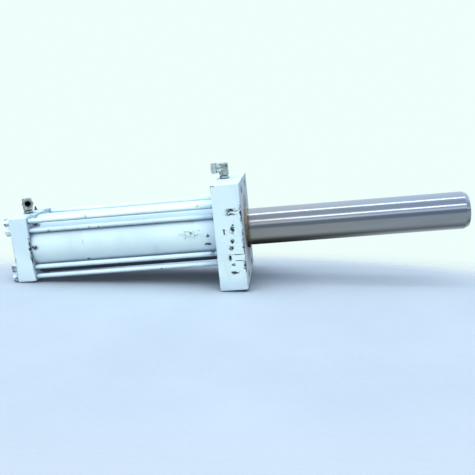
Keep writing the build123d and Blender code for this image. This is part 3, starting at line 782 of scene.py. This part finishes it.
def bronze():
    """Bronze under brown grease, wiped bright in spots, with painted light: brighter at the top, darker
    towards the bottom, and pale specks as painted highlights.
    """
    material, tree, shader, position = new_material("finish_gland_bronze")
    cloud = noise(tree, position, 55.0, 5.0, 0.65)
    # painted light: the bronze is made brighter towards the top
    brighter_on_top = times(tree, split(tree, position)[2], 0.9)
    wiped_and_top_lit = ramp(tree, plus(tree, cloud, brighter_on_top), 0.44, 0.62)
    coat = blend_colours(tree, noise(tree, position, 170.0), *grease_browns)
    # pale specks of bronze stand as painted highlights
    speck = ramp(tree, noise(tree, position, 190.0, 3.0), 0.56, 0.64)
    metal = blend_colours(tree, speck, *bronze_and_highlight_tones)
    feed(tree, shader.inputs["Metallic"], times(tree, wiped_and_top_lit, 0.8))
    gloss = plus(tree, 0.28, times(tree, cloud, 0.25))
    thickness = minus(tree, 1.0, wiped_and_top_lit)
    set_surface(tree, shader, blend_colours(tree, wiped_and_top_lit, coat, metal), gloss, thickness, 0.4 * MM)
    return material


gland_bronze = bronze()
tell(gland_bronze)

# %% Finish the grease
grease_tans = ((0.10, 0.075, 0.045, 1.0), (0.34, 0.27, 0.18, 1.0))
pale_highlight_specks = (0.80, 0.78, 0.70, 1.0)
shadow_black = (0.010, 0.008, 0.005, 1.0)


def old_grease():
    """Grease with dust in it: tan, with pale specks above as painted highlights, and painted shadow that
    makes it nearly black where it hangs down.
    """
    material, tree, shader, position = new_material("finish_old_grease")
    up = split(tree, position)[2]
    cloud = noise(tree, position, 90.0, 5.0, 0.65)
    fine = noise(tree, position, 240.0, 3.0, 0.6)
    tan = blend_colours(tree, ramp(tree, cloud, 0.38, 0.62), *grease_tans)
    # painted shadow: nearly black towards the bottom
    low = ramp(tree, up, -0.030, -0.078)
    # painted highlights: pale specks, more of them towards the top
    highlight_on_top = ramp(tree, plus(tree, fine, times(tree, up, 0.9)), 0.58, 0.66)
    tan_with_highlights = blend_colours(tree, times(tree, highlight_on_top, minus(tree, 1.0, low)), tan, pale_highlight_specks)
    colour = blend_colours(tree, low, tan_with_highlights, shadow_black)
    set_surface(tree, shader, colour, plus(tree, 0.26, times(tree, cloud, 0.25)), cloud, 0.6 * MM)
    return material


grease = old_grease()
tell(grease)

# %% [markdown]
# ## Turned steel and iron
# The pieces inside come from the lathe, which leaves rings along X, and lie in oil, which leaves
# a bloom. They differ only in tone and in how dull they are, so one function mixes all three.

# %% Finish the turned pieces
def lathe_metal(name, light, dark, roughness, marks=500.0):
    """Turned metal: two close tones, fine rings along X and an oily bloom."""
    material, tree, shader, position = new_material(name, 1.0)
    rings = rings_along(tree, position, marks)
    cloud = noise(tree, position, 35.0, 5.0, 0.6)
    tone = ramp(tree, plus(tree, times(tree, rings, 0.4), times(tree, cloud, 0.6)), 0.35, 0.65)
    bloom = plus(tree, roughness - 0.10, times(tree, cloud, 0.20))
    set_surface(tree, shader, blend_colours(tree, tone, light, dark), bloom, rings, 0.03 * MM)
    return material


dark_steel = lathe_metal("finish_dark_steel", (0.17, 0.18, 0.19, 1.0), (0.07, 0.07, 0.075, 1.0), 0.42)
turned_steel = lathe_metal("finish_turned_steel", (0.60, 0.61, 0.62, 1.0), (0.42, 0.43, 0.44, 1.0), 0.34)
piston_iron = lathe_metal("finish_piston_iron", (0.34, 0.34, 0.35, 1.0), (0.22, 0.22, 0.23, 1.0), 0.5)
tell(dark_steel, turned_steel, piston_iron)

# %% [markdown]
# ## Rubber, seal plastic and laminate
# The rings are softer stuff. Rubber is matt with a film of oil, the slide seals are a dark filled
# plastic, and the guide rings are cloth set in resin, whose weave shows at their edges. Two
# crossed bands of waves make the weave, which is simpler than modelling threads that nobody can
# touch and just as fine close up.

# %% Finish the rings
def soft(name, light, dark, roughness, scale, depth):
    """A dull moulded material with two close tones and a fine grain."""
    material, tree, shader, position = new_material(name)
    grain = noise(tree, position, scale, 5.0, 0.6)
    gloss = plus(tree, roughness - 0.12, times(tree, grain, 0.24))
    set_surface(tree, shader, blend_colours(tree, grain, light, dark), gloss, grain, depth)
    return material


def laminate():
    """Cloth in resin: two crossed bands of waves over brown."""
    material, tree, shader, position = new_material("finish_guide_laminate")
    threads = []
    for band in ("X", "Z"):
        wave = tree.nodes.new("ShaderNodeTexWave")
        wave.bands_direction = band
        wave.inputs["Scale"].default_value = 160.0
        wave.inputs["Distortion"].default_value = 0.6
        feed(tree, wave.inputs["Vector"], position)
        threads.append(wave.outputs["Fac"])
    weave = times(tree, *threads)
    brown = blend_colours(tree, weave, (0.26, 0.16, 0.08, 1.0), (0.52, 0.38, 0.22, 1.0))
    set_surface(tree, shader, brown, 0.5, weave, 0.1 * MM)
    return material


black_rubber = soft(
    "finish_black_rubber", (0.032, 0.032, 0.033, 1.0), (0.018, 0.018, 0.019, 1.0), 0.5, 300.0, 0.04 * MM,
)
seal_plastic = soft(
    "finish_seal_plastic", (0.15, 0.21, 0.25, 1.0), (0.10, 0.15, 0.18, 1.0), 0.42, 220.0, 0.03 * MM,
)
guide_laminate = laminate()
tell(black_rubber, seal_plastic, guide_laminate)

# %% [markdown]
# ## The ground under the cylinder
# The floor is painted and a little uneven in tone, and the cylinder shades it where it nearly
# touches. The shade comes from ambient occlusion, because the sky is so soft that its own
# shadows are faint. Away from the cylinder the shader gives way to a clear one, and so to the
# backdrop's tone, over a long stretch, so that no seam shows between them.

# %% Finish the floor
ground_tones = ((0.43, 0.51, 0.60, 1.0), (0.48, 0.56, 0.65, 1.0))
ground_shade = (0.10, 0.12, 0.16, 1.0)
fade_centre = (0.0, -0.6, 0.0)
fade_reach = (3.2, 1.5, 1.0)
fade_span = (0.40, 0.85)


def floor_finish():
    """Pale painted ground that fades into the backdrop away from the cylinder."""
    material, tree, shader, position = new_material("floor_pale")
    cloud = noise(tree, position, 1.4, 6.0, 0.6)
    speck = noise(tree, position, 60.0, 4.0, 0.6)
    tone = ramp(tree, plus(tree, times(tree, cloud, 0.7), times(tree, speck, 0.3)), 0.3, 0.7)
    pale = blend_colours(tree, tone, *ground_tones)
    under = times(tree, hollow(tree, 0.35, 0.20, 0.80), 0.75)
    set_surface(tree, shader, blend_colours(tree, under, pale, ground_shade), 0.75, speck, 0.2 * MM)
    mixer = tree.nodes.new("ShaderNodeMixShader")
    clear = tree.nodes.new("ShaderNodeBsdfTransparent")
    away = away_from(tree, position, fade_centre, fade_reach)
    feed(tree, mixer.inputs["Fac"], ramp(tree, away, *fade_span))
    feed(tree, mixer.inputs[1], shader.outputs[0])
    feed(tree, mixer.inputs[2], clear.outputs[0])
    feed(tree, tree.nodes["Material Output"].inputs["Surface"], mixer.outputs[0])
    return material


floor_pale = floor_finish()
floor.data.materials.append(floor_pale)
tell(floor_pale)

# %% [markdown]
# ## Give every solid its finish
# The record names a material slot for each solid. A slot has one finish, except white paint:
# the head, the cap and the tube have their own worn spots, the tie rods share theirs, and the
# nuts and washers have lost part of the coat.

# %% Give every solid its finish
finishes = {
    "hard_chrome": hard_chrome, "fitting_steel": fitting_steel, "gland_bronze": gland_bronze,
    "dark_steel": dark_steel, "turned_steel": turned_steel, "piston_iron": piston_iron,
    "black_rubber": black_rubber, "seal_plastic": seal_plastic, "guide_laminate": guide_laminate,
}
paints = {
    "front_head": head_paint, "rear_cap": cap_paint, "cylinder_tube": tube_paint,
    "tie_rod_nuts": nut_paint, "tie_rod_washers": nut_paint,
}
slots = {part["node"]: part["material_slot"] for part in frame["record"]["subparts"]}
for node, solid in frame["nodes"].items():
    solid.data.materials.clear()
    solid.data.materials.append(finishes.get(slots[node]) or paints.get(node, tie_paint))
print("finished", len(frame["nodes"]), "solids with", len(bpy.data.materials), "materials")

# %% [markdown]
# ## Turned pieces
# A turned piece is half its outline swept round its axis, as the lathe makes it. It could start
# from a cylinder with loops pushed in and out, but the outline is what a drawing gives. It
# starts as a plane merged to one point, and every corner after that is one extrude.

# %% Helpers for turned pieces
merge_gap = 0.01 * MM


def start_mesh(name):
    """A new object with one point at the origin, in edit mode."""
    bpy.ops.object.select_all(action="DESELECT")
    bpy.ops.mesh.primitive_plane_add(size=10 * MM, location=(0, 0, 0))
    piece = bpy.context.object
    piece.name = name
    bpy.ops.object.mode_set(mode="EDIT")
    bpy.ops.mesh.select_all(action="SELECT")
    bpy.ops.mesh.merge(type="CENTER")
    return piece


def draw_outline(name, points, closed=False):
    """An outline through (x, radius) points, lying in the XZ plane above the X axis."""
    piece = start_mesh(name)
    before = (0.0, 0.0)
    for number, (x, radius) in enumerate(points):
        step = (x - before[0], 0.0, radius - before[1])
        if number == 0:
            bpy.ops.transform.translate(value=step)
        else:
            bpy.ops.mesh.extrude_region_move(TRANSFORM_OT_translate={"value": step})
        before = (x, radius)
    bpy.ops.mesh.select_all(action="SELECT")
    if closed:
        bpy.ops.mesh.edge_face_add()
        bpy.ops.mesh.delete(type="ONLY_FACE")
    return piece


def spin_outline(piece, steps):
    """Sweeps the outline once round the X axis and closes it into a clean surface."""
    bpy.ops.mesh.select_all(action="SELECT")
    bpy.ops.mesh.spin(steps=steps, angle=2 * math.pi, center=(0, 0, 0), axis=(1, 0, 0))
    bpy.ops.mesh.select_all(action="SELECT")
    bpy.ops.mesh.remove_doubles(threshold=merge_gap)
    bpy.ops.mesh.normals_make_consistent(inside=False)
    bpy.ops.object.mode_set(mode="OBJECT")
    return piece


print("helpers for turned pieces:", ", ".join(f.__name__ for f in (start_mesh, draw_outline, spin_outline)))

# %% [markdown]
# ## Finished pieces
# An operator acts on whatever is selected, so each helper picks its own piece first. A piece is
# finished when its modifiers are part of its mesh, its edges are smooth or sharp as they should
# be, it has its finish, it rides its body, and the solids that it stands for are hidden.

# %% Helpers for finished pieces
def pick(*pieces):
    """Selects these pieces alone and makes the first one active."""
    bpy.ops.object.select_all(action="DESELECT")
    for piece in pieces:
        piece.select_set(True)
    bpy.context.view_layer.objects.active = pieces[0]
    return pieces[0]


def smooth(piece, degrees):
    """Smooth shading, except across edges sharper than the given angle."""
    pick(piece)
    bpy.ops.object.shade_smooth_by_angle(angle=math.radians(degrees))
    return piece


def apply_modifiers(piece):
    """Makes the modifiers' result the mesh itself."""
    pick(piece)
    for modifier in list(piece.modifiers):
        bpy.ops.object.modifier_apply(modifier=modifier.name)
    return piece


def join_pieces(name, pieces):
    """Joins several pieces into the first one."""
    joined = pick(*pieces)
    bpy.ops.object.join()
    joined.name = name
    return joined


def dress(piece, material, slot_name, body, *nodes):
    """Finish, body and the solids that the piece stands for; the slot name is not used."""
    piece.data.materials.clear()
    piece.data.materials.append(material)
    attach(piece, body)
    if nodes:
        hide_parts(*nodes)
    print(piece.name, len(piece.data.polygons), "faces, rides", body)
    return piece


print("helpers for finished pieces:", ", ".join(f.__name__ for f in (pick, smooth, join_pieces, dress)))

# %% [markdown]
# ## Threads
# A thread is a ridge whose section climbs as it goes round, so the Screw modifier makes it from
# the section alone. Real threads are cut below the surface, so each ridge stands on the core of
# its bar, and its crest is where the plain solid ended.

# %% Model a thread
ridge_foot = 0.44
ridge_crest = 0.07


def thread_ridge(name, x_start, length, root, crest, pitch, steps=48):
    """A helical ridge round the X axis, from the root radius to the crest radius."""
    foot, top = ridge_foot * pitch, ridge_crest * pitch
    section = [(x_start - foot, root), (x_start - top, crest), (x_start + top, crest), (x_start + foot, root)]
    piece = draw_outline(name, section)
    bpy.ops.object.mode_set(mode="OBJECT")
    screw = piece.modifiers.new("climb", "SCREW")
    screw.axis = "X"
    screw.screw_offset = pitch
    screw.iterations = max(1, round(length / pitch))
    screw.steps = steps
    screw.render_steps = steps
    screw.use_merge_vertices = False
    screw.use_smooth_shade = False
    return smooth(apply_modifiers(piece), 30.0)


print("a ridge's foot is", 2 * ridge_foot, "of its pitch wide, its crest", 2 * ridge_crest)

# %% [markdown]
# ## The piston rod
# One bar, turned and ground, with a wide bevel at its end so that it slips into the gland, a
# threaded hole for whatever it pushes, and at the other end a thinner neck for the piston and
# a shorter spear for the cushion. Its long cylinder has to be truly round, because chrome shows
# every flat, so it is swept in 160 steps. Each bevel has a small round where it meets the bar.
# The bevel and the hole's mouth are drawn in millimetres, the first number behind the rod's tip.

# %% Turn the rod
rod_steps = 160
shoulder_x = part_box("cushion_ring")[1].x
neck_end_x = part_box("piston_nut")[0].x
neck_radius = rod_radius - 15 * MM
spear_radius = neck_radius - 20 * MM
spear_bevel_long = 6 * MM
spear_bevel_deep = 1.5 * MM
shoulder_edge = 1 * MM
rod_outline = [
    (rod_low.x, 0.0), (rod_low.x, spear_radius - spear_bevel_deep),
    (rod_low.x + spear_bevel_long, spear_radius),
    (neck_end_x, spear_radius), (neck_end_x, neck_radius), (shoulder_x, neck_radius),
    (shoulder_x, rod_radius - shoulder_edge), (shoulder_x + shoulder_edge, rod_radius),
]
rod_outline += [(x, rod_radius) for x in (0.2, 0.5, 0.8)]
bevel = (
    (30.0, 0.0), (20.8, 0.0), (20.2, 0.06), (19.6, 0.28), (18.0, 0.98), (2.0, 8.0),
    (0.6, 8.7), (0.1, 9.2), (0.0, 9.8), (0.0, 12.0),
)
rod_outline += [(rod_tip - back * MM, rod_radius - down * MM) for back, down in bevel]
print("rod outline has", len(rod_outline), "points up to its face")

# %% Bore and thread the rod's end
end_steps = 96
end_pitch = 4 * MM
end_root_mm = 62.5
end_crest = 60.35 * MM
hole_deep_mm = 130
drill_point_mm = 34.8
thread_starts_before_floor = 8 * MM
thread_short_by = 14 * MM
overlap = 0.05 * MM
mouth = (
    (0.0, 67.5), (0.0, 66.4), (0.3, 65.6), (3.6, end_root_mm + 0.3), (4.2, end_root_mm),
    (hole_deep_mm, end_root_mm), (hole_deep_mm + drill_point_mm, 0.0),
)
rod_outline += [(rod_tip - back * MM, radius * MM) for back, radius in mouth]
rod_bar = smooth(spin_outline(draw_outline("rod_bar", rod_outline), rod_steps), 25.0)
hole_deep = hole_deep_mm * MM
rod_thread = thread_ridge(
    "rod_thread", rod_tip - hole_deep + thread_starts_before_floor, hole_deep - thread_short_by,
    end_root_mm * MM + overlap, end_crest, end_pitch, end_steps,
)
chromed_rod = join_pieces("chromed_rod", [rod_bar, rod_thread])
dress(chromed_rod, hard_chrome, "hard_chrome", "rod", "piston_rod")

# %% [markdown]
# ## The tie rods
# Each is a bar with a rolled thread at both ends. Only the last few turns show: behind the nuts
# on the cap, and where the rod enters the head. One rod is modelled on the X axis and copied to
# the eight places, with its own mesh each time, turned a little so that no two threads line up.

# %% Model one tie rod
tie_steps = 48
ridge_steps = 40
tie_pitch = 3 * MM
tie_core = 10.2 * MM
tie_low, tie_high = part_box("tie_rod_1")
tie_radius = (tie_high.z - tie_low.z) / 2
tie_crest = tie_radius - 0.1 * MM
runout = 2.2 * MM
tie_bevel = 1 * MM
rear_bevel_deep = 0.6 * MM
rear_bevel_long = 1.2 * MM
thread_begins = 2.4 * MM
thread_short = 3 * MM
thread_end_x = cap_low.x + 4 * MM
head_thread_x = head_low.x - 9 * MM
head_thread_long = 42 * MM
tie_outline = [
    (tie_low.x, 0.0), (tie_low.x, tie_core - rear_bevel_deep), (tie_low.x + rear_bevel_long, tie_core),
    (thread_end_x, tie_core), (thread_end_x + runout, tie_radius),
    (head_thread_x - runout, tie_radius), (head_thread_x, tie_core),
    (tie_high.x - tie_bevel, tie_core), (tie_high.x, tie_core - tie_bevel), (tie_high.x, 0.0),
]
tie_bar = smooth(spin_outline(draw_outline("tie_bar", tie_outline), tie_steps), 40.0)
rear_ridge = thread_ridge(
    "rear_ridge", tie_low.x + thread_begins, thread_end_x - tie_low.x - thread_short,
    tie_core - overlap, tie_crest, tie_pitch, ridge_steps,
)
front_ridge = thread_ridge(
    "front_ridge", head_thread_x + tie_bevel, head_thread_long,
    tie_core - overlap, tie_crest, tie_pitch, ridge_steps,
)
tie_model = join_pieces("tie_model", [tie_bar, rear_ridge, front_ridge])
print("one tie rod is", round(tie_high.x - tie_low.x, 3), "m long")

# %% Copy it to the eight places
turn_by_degrees = 47.0
for number in range(1, 9):
    low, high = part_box(f"tie_rod_{number}")
    copy = bpy.data.objects.new(f"threaded_tie_rod_{number}", tie_model.data.copy())
    bpy.context.scene.collection.objects.link(copy)
    middle = Vector((0.0, (low.y + high.y) / 2, (low.z + high.z) / 2))
    turned_rod = Matrix.Rotation(math.radians(turn_by_degrees * number), 4, "X")
    copy.data.transform(Matrix.Translation(middle) @ turned_rod)
    dress(copy, tie_paint, "white_paint", "barrel", f"tie_rod_{number}")
bpy.data.objects.remove(tie_model)

# %% [markdown]
# ## Grease at the gland
# Every stroke carries a little oil out past the wiper, where it meets dust and turns to a dark
# bead round the rod. Gravity draws it down, so it is thin on top and hangs in a drop below. The
# bead is a small ring swept round the axis, the drop a ball stretched along the bead, and both
# are roughened with the same cloud pattern. They stay on the gland when the rod slides.

# %% Sweep the bead
nose_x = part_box("gland")[1].x
bead_thick = 2.8 * MM
bead_clear = 4.8 * MM
bead_forward = 1.4 * MM
bead_corners = 12
bead_steps = 144
lump_size = 12 * MM
bead_lumps = 2.4 * MM
bead_outline = []
for corner in range(bead_corners):
    corner_turn = 2 * math.pi * corner / bead_corners
    x = nose_x + bead_forward + bead_thick * math.cos(corner_turn)
    bead_outline.append((x, rod_radius + bead_clear + bead_thick * math.sin(corner_turn)))
bead = spin_outline(draw_outline("old_grease_bead", bead_outline, closed=True), bead_steps)
clouds = bpy.data.textures.new("grease_lumps", "CLOUDS")
clouds.noise_scale = lump_size
lumps = bead.modifiers.new("lumps", "DISPLACE")
lumps.texture = clouds
lumps.strength = bead_lumps
lumps.mid_level = 0.42
apply_modifiers(bead)
print("bead stands", round((bead_clear - bead_thick) / MM, 1), "mm off the rod")

# %% Hang the drop below it
drop_radius = 7.0 * MM
drop_stretch = (1.0, 2.2, 1.15)
drop_turn_degrees = -30.0
drop_lumps = 1.6 * MM
drop_middle = (nose_x + 2.4 * MM, 0.0, -rod_radius - 9.6 * MM)
bpy.ops.object.select_all(action="DESELECT")
bpy.ops.mesh.primitive_uv_sphere_add(segments=48, ring_count=24, radius=drop_radius)
drop = bpy.context.object
bpy.ops.object.mode_set(mode="EDIT")
bpy.ops.mesh.select_all(action="SELECT")
bpy.ops.transform.resize(value=drop_stretch, center_override=(0, 0, 0))
bpy.ops.object.mode_set(mode="OBJECT")
lumps = drop.modifiers.new("lumps", "DISPLACE")
lumps.texture = clouds
lumps.strength = drop_lumps
apply_modifiers(drop)
drop_turn = Matrix.Rotation(math.radians(drop_turn_degrees), 4, "X")
drop.data.transform(drop_turn @ Matrix.Translation(drop_middle))
bead = join_pieces("old_grease_bead", [bead, drop])
dress(smooth(bead, 60.0), grease, "gland_bronze", "barrel")
lowest = min(corner.co.z for corner in bead.data.vertices)
print("bead hangs", round((-rod_radius - lowest) / MM, 1), "mm below the rod")

# %% [markdown]
# ## Threads on the elbow studs
# An elbow that can be turned to any side has a straight thread and a lock nut, and a turn or so
# of that thread shows between the nut and the elbow. Each is a short ridge, made on the X axis,
# stood upright and moved to its port.

# %% Model the stud threads
stud_radius = 16.6 * MM
stud_pitch = 2.3 * MM
stud_crest = stud_radius + 0.55 * MM
below_nut = -1.0 * MM
stud_thread_long = 5.0 * MM
for name in ("rear", "front"):
    nut_low, nut_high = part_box(f"{name}_elbow_nut")
    ridge = thread_ridge(
        f"{name}_stud_thread", below_nut, stud_thread_long, stud_radius - overlap, stud_crest, stud_pitch,
    )
    foot = Vector(((nut_low.x + nut_high.x) / 2, (nut_low.y + nut_high.y) / 2, nut_high.z))
    ridge.data.transform(Matrix.Translation(foot) @ Matrix.Rotation(math.radians(-90), 4, "Y"))
    dress(ridge, fitting_steel, "fitting_steel", "barrel")
